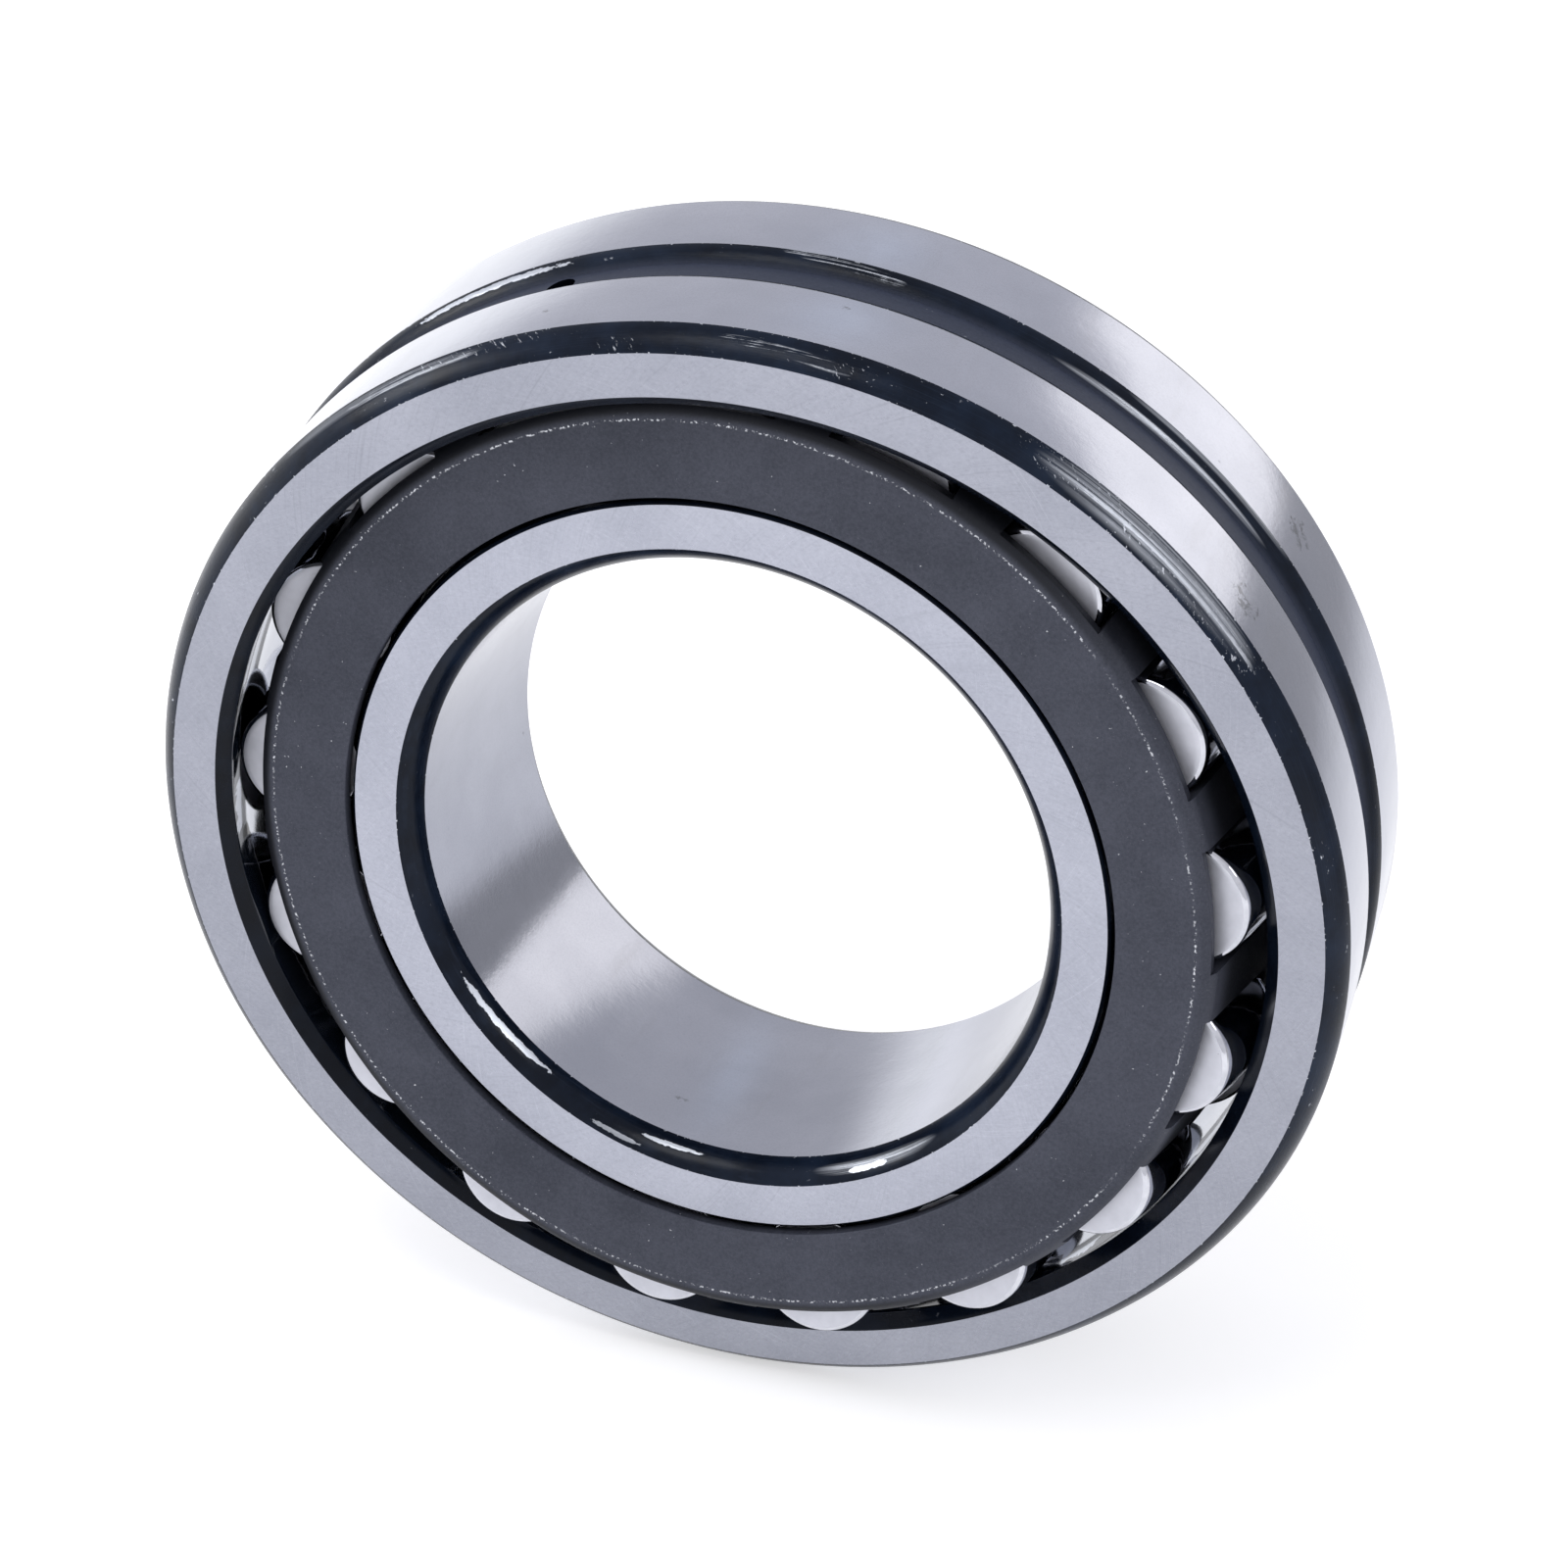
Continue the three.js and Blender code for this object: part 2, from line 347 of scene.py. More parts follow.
def set_base(n, metallic, rough, color=None, aniso=0.0, coat=0.0, coat_rough=0.05, ior=1.5, spec=0.5):
    b = n.b
    b.inputs["Metallic"].default_value = metallic
    b.inputs["Roughness"].default_value = rough
    if color:
        b.inputs["Base Color"].default_value = (*color, 1)
    b.inputs["Anisotropic"].default_value = aniso
    b.inputs["Coat Weight"].default_value = coat
    b.inputs["Coat Roughness"].default_value = coat_rough
    b.inputs["IOR"].default_value = ior
    b.inputs["Specular IOR Level"].default_value = spec


def ground_face(name, tone=1.0, painted_shade_lift=0.0):
    """Flat side faces: bright satin steel with fine oblique grinding lines and a few nicks, with painted shade that
    makes the colour darker towards the bottom and lighter towards the top.
    """
    n = Nodes(name)
    set_base(n, 1.0, 0.3, ior=2.5)
    t1 = n.math("MULTIPLY", n.r, 0.021)
    t2 = n.math("MULTIPLY", n.r, -0.034)
    l1 = n.noise(n.around(150.0, n.math("MULTIPLY", n.r, 0.10), turn=t1), 1.0, 3.0, 0.6)
    l2 = n.noise(n.around(230.0, n.math("MULTIPLY", n.r, 0.16), turn=t2), 1.0, 2.0, 0.6)
    cloud = n.noise(n.p, 0.09, 3.0, 0.55)
    fine = n.noise(n.p, 6.0, 2.0, 0.6)
    # Painted shade: the lift amount darkens the colour towards the bottom and lightens it towards the top, standing in
    # for the shadowed floor that the lower part reflects.
    up = n.range(n.z, -60.0, 60.0)
    sh = lambda k, c: tuple(tone * k * v for v in c)
    low = n.mix(n.range(cloud, 0.3, 0.7), sh(1 - painted_shade_lift, (0.385, 0.40, 0.465)), sh(1 - painted_shade_lift, (0.445, 0.46, 0.53)))
    top = n.mix(n.range(cloud, 0.3, 0.7), sh(1 + painted_shade_lift, (0.385, 0.40, 0.465)), sh(1 + painted_shade_lift, (0.445, 0.46, 0.53)))
    col = n.mix(up, low, top)
    felt = n.noise(n.vec(n.math("ADD", n.x, n.math("MULTIPLY", fine, 0.5)), n.y, n.math("MULTIPLY", n.z, 1.3)), 2.6, 3.0, 0.7)
    col = n.mix(n.math("MULTIPLY", n.range(felt, 0.50, 0.72), 0.30), col, sh(1.0, (0.27, 0.28, 0.325)))
    col = n.mix(n.math("MULTIPLY", n.range(felt, 0.45, 0.25), 0.25), col, sh(1.0, (0.60, 0.62, 0.69)))
    col = n.mix(n.math("MULTIPLY", n.range(l1, 0.58, 0.74), 0.30), col, sh(1.0, (0.28, 0.29, 0.335)))
    col = n.mix(n.math("MULTIPLY", n.range(l2, 0.60, 0.74), 0.28), col, sh(1.0, (0.62, 0.64, 0.72)))
    spots = n.math("MULTIPLY", n.range(n.noise(n.p, 1.3, 2.0, 0.7), 0.74, 0.80), 0.55)
    col = n.mix(spots, col, (0.33, 0.335, 0.35))
    n.link(col, n.b.inputs["Base Color"])
    rough = n.range(n.math("ADD", n.math("MULTIPLY", l1, 0.6), n.math("MULTIPLY", fine, 0.4)), 0.35, 0.68, 0.25, 0.36)
    n.link(rough, n.b.inputs["Roughness"])
    h = n.math("ADD", n.math("MULTIPLY", l1, 0.7), n.math("ADD", n.math("MULTIPLY", l2, 0.45), n.math("MULTIPLY", fine, 0.25)))
    n.link(n.bump(h, 0.35, 0.00002), n.b.inputs["Normal"])
    return n.mat


def ground_round(name, k_axial=5.0, spots=True, tone=1.0, smears=()):
    """Ground cylindrical seats: satin steel with very fine lines round the axis, stains and faint smears."""
    n = Nodes(name)
    set_base(n, 1.0, 0.15, ior=2.5)
    lines = n.noise(n.around(5.0, n.math("MULTIPLY", n.y, k_axial)), 1.0, 3.0, 0.6)
    cloud = n.noise(n.p, 0.07, 3.0, 0.6)
    smear = n.noise(n.vec(n.math("MULTIPLY", n.x, 0.22), n.math("MULTIPLY", n.y, 0.05), n.math("MULTIPLY", n.z, 0.22)), 1.0, 4.0, 0.6)
    grain = n.noise(n.p, 5.0, 2.0, 0.6)
    a = (0.385 * tone, 0.40 * tone, 0.465 * tone)
    b = (0.445 * tone, 0.46 * tone, 0.53 * tone)
    col = n.mix(n.range(cloud, 0.32, 0.68), a, b)
    col = n.mix(n.math("MULTIPLY", n.range(smear, 0.58, 0.75), 0.30), col, (0.345 * tone, 0.35 * tone, 0.385 * tone))
    if spots:
        d, c = n.voronoi(n.p, 0.16)
        s1 = n.math("MULTIPLY", n.range(d, 0.018, 0.05, 1.0, 0.0), n.range(n.noise(n.p, 0.9, 2.0), 0.50, 0.56))
        n2 = n.range(n.noise(n.p, 0.45, 5.0, 0.7), 0.70, 0.78)
        st = n.math("MAXIMUM", s1, n.math("MULTIPLY", n2, 0.55))
        col = n.mix(n.math("MULTIPLY", st, 0.6), col, (0.14, 0.145, 0.165))
    col = n.mix(n.math("MULTIPLY", n.range(grain, 0.45, 0.75), 0.22), col, (0.28 * tone, 0.29 * tone, 0.34 * tone))
    if smears:
        ang = n.degrees()
        for t, ht, y0, hy in smears:
            q = n.patch(ang, t, ht, y0, hy)
            rag = n.noise(n.p, 0.9, 4.0, 0.75)
            hit = n.range(n.math("ADD", q, n.math("MULTIPLY", n.math("SUBTRACT", rag, 0.5), 5.0)), 0.75, 1.2)
            hit = n.math("MULTIPLY", hit, n.range(q, 0.0, 0.25))
            col = n.mix(n.math("MULTIPLY", hit, 0.7), col, (0.17, 0.175, 0.19))
    n.link(col, n.b.inputs["Base Color"])
    rough = n.range(n.math("ADD", n.math("MULTIPLY", smear, 0.7), n.math("MULTIPLY", lines, 0.3)), 0.3, 0.7, 0.12, 0.20)
    n.link(rough, n.b.inputs["Roughness"])
    wave = n.noise(n.p, 0.42, 4.0, 0.7)
    first = n.bump(wave, 0.5, 0.00003)
    h = n.math("ADD", n.math("MULTIPLY", lines, 0.6), n.math("MULTIPLY", grain, 0.3))
    n.link(n.bump(h, 0.25, 0.00001, first), n.b.inputs["Normal"])
    return n.mat


def blackened(name, edges, tone=1.0, bottom=None, scuff=1.0, patches=()):
    """Turned, unground zones: blue-black oil-coated steel with turning lines, scuffs and bright nicks on its edges; the
    patches add painted highlights as bright metal streaks and spots at set angles.
    """
    n = Nodes(name)
    set_base(n, 0.0, 0.2, ior=1.5, spec=0.15)
    along = n.math("ADD", n.math("MULTIPLY", n.r, 9.0), n.math("MULTIPLY", n.y, 9.0))
    turn = n.noise(n.around(7.0, along), 1.0, 3.0, 0.65)
    fine = n.noise(n.around(30.0, n.math("MULTIPLY", along, 2.2)), 1.0, 2.0, 0.6)
    cloud = n.noise(n.p, 0.16, 4.0, 0.6)
    dark = (0.003 * tone, 0.006 * tone, 0.014 * tone)
    mid = (0.009 * tone, 0.017 * tone, 0.036 * tone)
    col = n.mix(n.range(cloud, 0.40, 0.72), dark, mid)
    col = n.mix(n.math("MULTIPLY", n.range(turn, 0.56, 0.72), 0.40), col, (0.020 * tone, 0.031 * tone, 0.056 * tone))
    if bottom is not None:
        lo, hi, shade = bottom
        flat = n.range(n.math("ABSOLUTE", n.y), lo, hi, 1.0, 0.0, smooth=True)
        speck = n.noise(n.p, 3.2, 3.0, 0.7)
        col = n.mix(flat, col, n.mix(n.range(speck, 0.35, 0.65), (shade[0] * 0.8, shade[1] * 0.8, shade[2] * 0.8), shade))
    # scuffs in the middle and nicks at the edges
    sc = n.noise(n.vec(n.math("MULTIPLY", n.x, 1.1), n.math("MULTIPLY", n.y, 2.6), n.math("MULTIPLY", n.z, 1.1)), 1.0, 4.0, 0.7)
    gate = n.range(n.noise(n.p, 0.11, 1.0), 0.50, 0.62)
    wear_and_painted_highlights = n.math("MULTIPLY", n.math("MULTIPLY", n.range(sc, 0.665, 0.71), gate), scuff)
    nick = n.noise(n.p, 2.4, 3.0, 0.65)
    edge = None
    for re, ye, w in edges:
        e = n.near(re, ye, w)
        edge = e if edge is None else n.math("MAXIMUM", edge, e)
    if edge is not None:
        nk = n.math("MULTIPLY", n.range(n.math("ADD", nick, n.math("MULTIPLY", edge, 0.16)), 0.745, 0.78), n.range(edge, 0.05, 0.3))
        wear_and_painted_highlights = n.math("MAXIMUM", wear_and_painted_highlights, nk)
    # Painted highlights: each patch paints bright metal at a set angle and height where a highlight stands. The kinds
    # are a soft streaky sheen, highlight lines, and ragged bright spots (worn). The scratch kind is partly real
    # scratches and partly painted highlight.
    if patches:
        ang = n.degrees()
        streak = n.noise(n.around(1.6, n.math("MULTIPLY", n.math("SUBTRACT", n.y, n.math("MULTIPLY", n.r, 0.8)), 7.0)), 1.0, 3.0, 0.75)
        rag = n.noise(n.vec(n.math("MULTIPLY", n.x, 0.9), n.math("MULTIPLY", n.y, 2.2), n.math("MULTIPLY", n.z, 0.9)), 1.0, 4.0, 0.7)
        cross = n.noise(n.vec(n.math("MULTIPLY", n.math("ADD", n.x, n.y), 2.6), n.math("MULTIPLY", n.math("SUBTRACT", n.y, n.z), 0.7), n.math("MULTIPLY", n.z, 1.6)), 1.0, 4.0, 0.75)
        for kind, amount, t, ht, y0, hy, slope in patches:
            q = n.patch(ang, t, ht, y0, hy, slope)
            if kind == "scratch":
                m = n.math("MULTIPLY", n.range(q, 0.0, 0.4), n.range(cross, 0.60, 0.66))
            elif kind == "line":
                m = n.math("MULTIPLY", n.range(q, 0.0, 0.5), n.range(n.math("ADD", streak, n.math("MULTIPLY", rag, 0.25)), 0.60, 0.72))
            elif kind == "worn":
                m = n.math("MULTIPLY", n.range(n.math("ADD", q, n.math("MULTIPLY", n.math("SUBTRACT", rag, 0.5), 2.6)), 0.30, 0.42), n.range(q, -0.6, 0.0))
            else:
                m = n.math("MULTIPLY", n.range(q, 0.0, 1.0, 0, 1, True), n.range(streak, 0.38, 0.62, 0.10, 0.95))
            wear_and_painted_highlights = n.math("MAXIMUM", wear_and_painted_highlights, n.math("MULTIPLY", m, amount))
    # Bright metal colour for the real scuffs and nicks and for the painted highlights of the patches.
    col = n.mix(wear_and_painted_highlights, col, (0.60, 0.63, 0.69))
    n.link(col, n.b.inputs["Base Color"])
    n.link(wear_and_painted_highlights, n.b.inputs["Metallic"])
    rough = n.range(n.math("ADD", n.math("MULTIPLY", turn, 0.6), n.math("MULTIPLY", cloud, 0.4)), 0.32, 0.68, 0.12, 0.28)
    if bottom is not None:
        rough = n.math("ADD", rough, n.math("MULTIPLY", flat, 0.22))
    rough = n.math("ADD", rough, n.math("MULTIPLY", wear_and_painted_highlights, 0.15))
    n.link(rough, n.b.inputs["Roughness"])
    h = n.math("ADD", n.math("MULTIPLY", turn, 0.8), n.math("ADD", n.math("MULTIPLY", fine, 0.35), n.math("MULTIPLY", wear_and_painted_highlights, -0.3)))
    n.link(n.bump(h, 0.5, 0.00003), n.b.inputs["Normal"])
    return n.mat


def mirror(name, tone=(0.70, 0.72, 0.76), rough=0.03, painted_dark_beyond=None, patches=()):
    """Honed raceways; beyond a given height from the middle, outside the listed patches, the raceway is painted
    near-black and non-metallic as a painted dark reflection.
    """
    n = Nodes(name)
    set_base(n, 1.0, rough, ior=1.5, spec=0.3)
    lines = n.noise(n.around(9.0, n.math("MULTIPLY", n.y, 7.0)), 1.0, 2.0, 0.6)
    film = n.noise(n.p, 0.25, 3.0, 0.6)
    col = n.mix(n.range(film, 0.35, 0.7), tuple(c * 0.86 for c in tone), tone)
    if painted_dark_beyond is not None:
        edge = n.noise(n.p, 0.8, 3.0, 0.65)
        out = n.range(n.math("ADD", n.math("ABSOLUTE", n.y), n.math("MULTIPLY", n.math("SUBTRACT", edge, 0.5), 1.6)), painted_dark_beyond, painted_dark_beyond + 0.6, smooth=True)
        ang = n.math("MULTIPLY", n.math("ARCTAN2", n.math("MULTIPLY", n.z, -1.0), n.math("MULTIPLY", n.x, -1.0)), 57.29578)
        comb = n.noise(n.vec(n.math("MULTIPLY", ang, 0.9), n.math("MULTIPLY", n.y, 0.25), 0.0), 1.0, 3.0, 0.7)
        for t, ht, y0, hy in patches:
            q = n.patch(ang, t, ht, y0, hy)
            out = n.math("MULTIPLY", out, n.range(n.math("ADD", q, n.math("MULTIPLY", n.math("SUBTRACT", comb, 0.5), 2.2)), 0.25, 0.4, 1.0, 0.0))
        # Painted dark reflection: the near-black colour stands in for the dark inside of the bearing seen in the
        # raceway. The patches keep the mirror where bright reflections show.
        col = n.mix(out, col, (0.006, 0.009, 0.016))
        n.link(n.math("SUBTRACT", 1.0, out), n.b.inputs["Metallic"])
    n.link(col, n.b.inputs["Base Color"])
    n.link(n.range(n.math("ADD", n.math("MULTIPLY", lines, 0.5), n.math("MULTIPLY", film, 0.5)), 0.35, 0.65, rough * 0.7, rough * 2.2), n.b.inputs["Roughness"])
    n.link(n.bump(lines, 0.12, 0.000006), n.b.inputs["Normal"])
    return n.mat


def sheet_black(name, dark=1.0):
    """Cage sheet: matte blackened pressed steel, fine speckle, bright worn dots on the outer bend, and painted shade on
    the bend and the wall.
    """
    n = Nodes(name)
    set_base(n, 0.35, 0.55, ior=1.5, spec=0.35)
    grain = n.noise(n.p, 3.4, 3.0, 0.75)
    grit = n.noise(n.p, 9.0, 1.0, 0.5)
    cloud = n.noise(n.p, 0.10, 3.0, 0.6)
    c0 = (0.031 * dark, 0.035 * dark, 0.050 * dark)
    c1 = (0.065 * dark, 0.070 * dark, 0.094 * dark)
    col = n.mix(n.range(n.math("ADD", n.math("MULTIPLY", grain, 0.6), n.math("MULTIPLY", cloud, 0.4)), 0.36, 0.64), c0, c1)
    glint = n.range(grit, 0.70, 0.78)
    col = n.mix(n.math("MULTIPLY", glint, 0.35), col, (0.30, 0.31, 0.34))
    # rubbed dots where the flange turns over
    ring = n.range(n.math("ABSOLUTE", n.math("SUBTRACT", n.r, 47.58)), 0.03, 0.17, 1.0, 0.0)
    high = n.range(n.math("ABSOLUTE", n.y), 15.8, 15.92)
    dots = n.noise(n.p, 3.0, 2.0, 0.6)
    gate = n.range(n.noise(n.p, 0.12, 2.0), 0.28, 0.46)
    worn = n.math("MULTIPLY", n.math("MULTIPLY", ring, high), n.math("MULTIPLY", n.range(dots, 0.53, 0.60), gate))
    rare = n.math("MULTIPLY", n.range(n.noise(n.p, 2.2, 2.0, 0.6), 0.745, 0.775), 0.8)
    worn = n.math("MAXIMUM", worn, rare)
    col = n.mix(worn, col, (0.62, 0.64, 0.68))
    # Painted shade: the turned-over bend is darkened except on the lower right lit side. The wall grows darker towards
    # the inside (|y| from 15 down to 11), standing in for the shadow under the outer ring's lip and between the
    # rollers.
    turned_over = n.range(n.r, 47.7, 48.5, 0, 1, True)
    painted_lit_side = n.range(n.math("ABSOLUTE", n.math("ADD", n.degrees(), 8.0)), 40.0, 62.0, 0.8, 0.0, smooth=True)
    painted_bend_shade = n.math("MULTIPLY", n.math("MULTIPLY", turned_over, n.math("SUBTRACT", 1.0, painted_lit_side)), 0.85)
    painted_shade = n.math("MAXIMUM", painted_bend_shade, n.range(n.math("ABSOLUTE", n.y), 11.0, 15.0, 0.9, 0.0, smooth=True))
    col = n.mix(painted_shade, col, (0.004, 0.005, 0.008))
    n.link(col, n.b.inputs["Base Color"])
    n.link(n.math("ADD", n.math("MULTIPLY", worn, 0.6), 0.35, clamp=True), n.b.inputs["Metallic"])
    n.link(n.math("SUBTRACT", n.range(grain, 0.3, 0.7, 0.46, 0.62), n.math("MULTIPLY", worn, 0.2)), n.b.inputs["Roughness"])
    h = n.math("ADD", n.math("MULTIPLY", grain, 0.7), n.math("MULTIPLY", grit, 0.3))
    n.link(n.bump(h, 0.5, 0.00004), n.b.inputs["Normal"])
    return n.mat


def roller_end(name):
    n = Nodes(name)
    set_base(n, 0.6, 0.14, ior=1.5)
    sp = n.vec(n.math("ADD", n.x, n.math("MULTIPLY", n.seed, 31.0)), n.y, n.z)
    swirl = n.noise(n.around(2.5, n.math("ADD", n.math("MULTIPLY", n.r, 7.0), n.math("MULTIPLY", n.seed, 17.0))), 1.0, 2.0, 0.6)
    cloud = n.noise(sp, 0.35, 3.0, 0.6)
    col = n.mix(n.range(cloud, 0.35, 0.65), (0.55, 0.56, 0.615), (0.63, 0.64, 0.70))
    pit = n.range(n.noise(sp, 1.6, 3.0, 0.7), 0.76, 0.80)
    col = n.mix(n.math("MULTIPLY", pit, 0.8), col, (0.16, 0.16, 0.18))
    n.link(col, n.b.inputs["Base Color"])
    n.link(n.range(n.math("ADD", n.math("MULTIPLY", swirl, 0.5), n.math("MULTIPLY", cloud, 0.5)), 0.35, 0.65, 0.40, 0.50), n.b.inputs["Roughness"])
    grain = n.noise(sp, 5.0, 2.0, 0.6)
    h = n.math("ADD", n.math("MULTIPLY", swirl, 0.5), n.math("MULTIPLY", grain, 0.5))
    n.link(n.bump(h, 0.25, 0.00001), n.b.inputs["Normal"])
    return n.mat


def roller_side(name):
    n = Nodes(name)
    set_base(n, 1.0, 0.06, ior=2.5)
    lines = n.noise(n.around(3.0, n.math("ADD", n.math("MULTIPLY", n.y, 6.0), n.math("MULTIPLY", n.seed, 13.0))), 1.0, 2.0, 0.6)
    film = n.noise(n.vec(n.math("ADD", n.x, n.math("MULTIPLY", n.seed, 23.0)), n.y, n.z), 0.5, 3.0, 0.6)
    n.link(n.mix(n.range(film, 0.35, 0.68), (0.54, 0.55, 0.60), (0.68, 0.69, 0.74)), n.b.inputs["Base Color"])
    n.link(n.range(n.math("ADD", n.math("MULTIPLY", lines, 0.5), n.math("MULTIPLY", film, 0.5)), 0.35, 0.65, 0.04, 0.11), n.b.inputs["Roughness"])
    n.link(n.bump(lines, 0.15, 0.000006), n.b.inputs["Normal"])
    return n.mat


def sintered(name):
    n = Nodes(name)
    set_base(n, 0.85, 0.45, ior=2.0)
    grain = n.noise(n.p, 4.0, 3.0, 0.75)
    cloud = n.noise(n.p, 0.3, 3.0, 0.6)
    n.link(n.mix(n.range(n.math("ADD", n.math("MULTIPLY", grain, 0.6), n.math("MULTIPLY", cloud, 0.4)), 0.36, 0.64), (0.11, 0.115, 0.12), (0.24, 0.24, 0.25)), n.b.inputs["Base Color"])
    n.link(n.range(grain, 0.3, 0.7, 0.38, 0.56), n.b.inputs["Roughness"])
    n.link(n.bump(grain, 0.4, 0.00003), n.b.inputs["Normal"])
    return n.mat


OUT_EDGES = [(58.04, 15.5, 0.35), (60.0, 12.9, 0.3)]
m_face_out = ground_face("steel_side_face_outer", 0.83, 0.07)
m_face_in = ground_face("steel_side_face_inner", 1.0, 0.0)
m_od = ground_round("steel_outside_diameter", 4.5, smears=[(38.3, 2.2, -9.0, 2.4), (81.7, 0.9, -5.2, 0.7), (35.5, 2.0, 8.5, 3.0), (109.0, 0.5, -8.7, 0.5)])
m_bore = ground_round("steel_bore", 4.5, tone=0.82, smears=[(-102.0, 1.5, -7.0, 0.8)])
# The patch lists below paint highlights on the chamfers and the groove at the angles where highlights stand. The
# scratch entries are partly real scratches.
m_chamfer = blackened("black_mounting_chamfer", OUT_EDGES, 1.0, patches=[
    ("painted_sheen", 0.85, 48.0, 14.0, -14.05, 1.38, 0.0), ("scratch", 0.9, 43.0, 10.0, -14.3, 1.1, 0.0), ("scratch", 0.85, 57.0, 7.0, -14.0, 1.0, 0.0), ("line", 0.9, 46.0, 12.0, -14.35, 0.7, 0.0), ("line", 0.9, 85.0, 6.3, -14.35, 0.45, 0.063),
    ("scratch", 1.0, 79.6, 1.0, -14.7, 0.6, 0.0), ("scratch", 1.0, 36.0, 2.2, -14.6, 0.8, 0.0), ("scratch", 1.0, 50.0, 11.0, -13.9, 0.7, 0.01),
    ("scratch", 0.9, 114.0, 8.0, -13.5, 0.7, 0.0), ("scratch", 0.8, 100.5, 2.5, -14.9, 0.5, 0.0), ("painted_sheen", 0.30, 126.0, 13.0, -13.6, 0.6, 0.0), ("line", 0.6, 122.0, 8.0, -13.7, 0.5, 0.0)])
m_groove = blackened("black_lubrication_groove", [(60.0, 3.57, 0.3)], 0.9, bottom=(1.5, 2.3, (0.044, 0.053, 0.084)), scuff=0.5, patches=[
    ("painted_sheen", 1.0, 51.0, 13.5, 2.2, 0.28, 0.0), ("painted_sheen", 0.75, 46.0, 11.0, 3.35, 0.40, 0.0), ("line", 1.0, 84.4, 6.0, 2.95, 0.5, 0.07),
    ("worn", 1.0, 119.3, 9.5, 2.88, 0.36, 0.0)])
m_bore_chamfer = blackened("black_bore_chamfer", [(34.46, 15.5, 0.25), (32.5, 12.9, 0.25)], 0.8, scuff=0.2, patches=[
    ("worn", 1.0, -135.5, 12.5, -14.1, 0.34, 0.015), ("worn", 0.6, -108.5, 5.2, -15.05, 0.2, 0.0), ("worn", 0.9, -98.7, 6.0, -14.1, 0.26, 0.012),
    ("painted_sheen", 0.75, -59.5, 13.0, -14.45, 0.62, 0.0), ("worn", 1.0, -61.5, 4.0, -14.75, 0.3, 0.0)])
m_lead = blackened("black_raceway_edge", [], 0.45, scuff=0.1)
m_hole = blackened("black_oil_hole", [], 0.2, scuff=0.0)
m_race = mirror("steel_raceway_outer", (0.50, 0.52, 0.57), painted_dark_beyond=9.2, patches=[(2.6, 3.4, -9.5, 4.6), (-14.2, 2.6, -8.5, 4.6), (-27.0, 1.6, -10.0, 3.0), (131.0, 3.0, -9.0, 4.0), (155.0, 2.0, -9.0, 4.0)])
m_race_in = mirror("steel_raceway_inner", (0.66, 0.68, 0.72), 0.05, painted_dark_beyond=11.0)
m_land = blackened("black_inner_land", [], 0.4, scuff=0.0)
m_sheet = sheet_black("black_cage_sheet")
m_rend = roller_end("steel_roller_end")
m_rside = roller_side("steel_roller_side")
m_guide = sintered("grey_guide_ring")


# ------------------------------------------------------------------ outer ring
def outer_ring():
    H, R = 15.5, 60.0
    lead_y = H - 1.27
    lead_r = math.sqrt(SPHERE_R ** 2 - lead_y ** 2)
    half = []  # from the middle of the groove to the middle of the raceway, y >= 0
    half += [(R - 1.25, 0.0)]
    g = arc((R - 1.25, 1.75), (R, 3.57), -0.22, 7)
    half += g[:-1]
    half += fillets([g[-2], (R, 3.57, 0.06, 2), (R, 8)], closed=False)[1:-1]
    ch = arc((R, 12.9), (58.04, 15.5), -0.30, 10)
    half += fillets([(R, 8), (R, 12.9, 0.06, 2), ch[1]], closed=False)[1:-1]
    half += ch[1:-1]
    half += fillets([ch[-2], (58.04, 15.5, 0.05, 2), (53.6, 15.5, 0.07, 2), (lead_r, lead_y, 0.10, 2), (math.sqrt(SPHERE_R ** 2 - 11 ** 2), 11)], closed=False)[1:-1]
    ys = np.linspace(lead_y, 0, 26)[1:]
    race = [(math.sqrt(SPHERE_R ** 2 - y * y), y) for y in ys]
    half += race
    full = half + [(r, -y) for r, y in reversed(half[1:-1])]
    v, f = lathe(full, 384)
    ring = build("outer_ring_body", v, f)
    bits = []
    off = 0
    tv, tf = [], []
    for k in range(3):
        a = OIL_HOLE + 2 * math.pi * k / 3
        prof = [(0, 52.0), (1.5, 52.0), (1.5, 63.0), (0, 63.0)]
        hv, hf = lathe(prof, 40, closed=False)
        rot = Matrix.Rotation(-a, 4, "Y") @ Matrix.Rotation(-math.pi / 2, 4, "Z")
        hv = [tuple(rot @ Vector(p)) for p in hv]
        tv += hv
        tf += [tuple(i + off for i in q) for q in hf]
        off += len(hv)
    tool = build("drill", tv, tf)
    me = cut(ring, tool, "outer_ring_body")

    def region(r, y, nr, ny):
        ay = np.abs(y)
        idx = np.full(len(r), 1)
        idx[(ay > 15.45)] = 0
        idx[(r > 58.0) & (ay > 12.88) & (ay <= 15.47)] = 2
        idx[(r > 56.0) & (ay < 3.60) & (r < 59.985)] = 3
        idx[(r < 54.4) & (nr < 0)] = 4
        idx[(r < 53.75) & (ay > lead_y + 0.02) & (ay <= 15.47)] = 5
        hole = (r < 58.8) & (r > 54.30) & (ay < 1.6) & (nr < 0.7)
        idx[hole] = 6
        return idx

    return finish_piece("bearing_outer_ring", me, "outer_ring", "outer_ring",
                        [m_face_out, m_od, m_chamfer, m_groove, m_race, m_lead, m_hole], region, sharp=24)


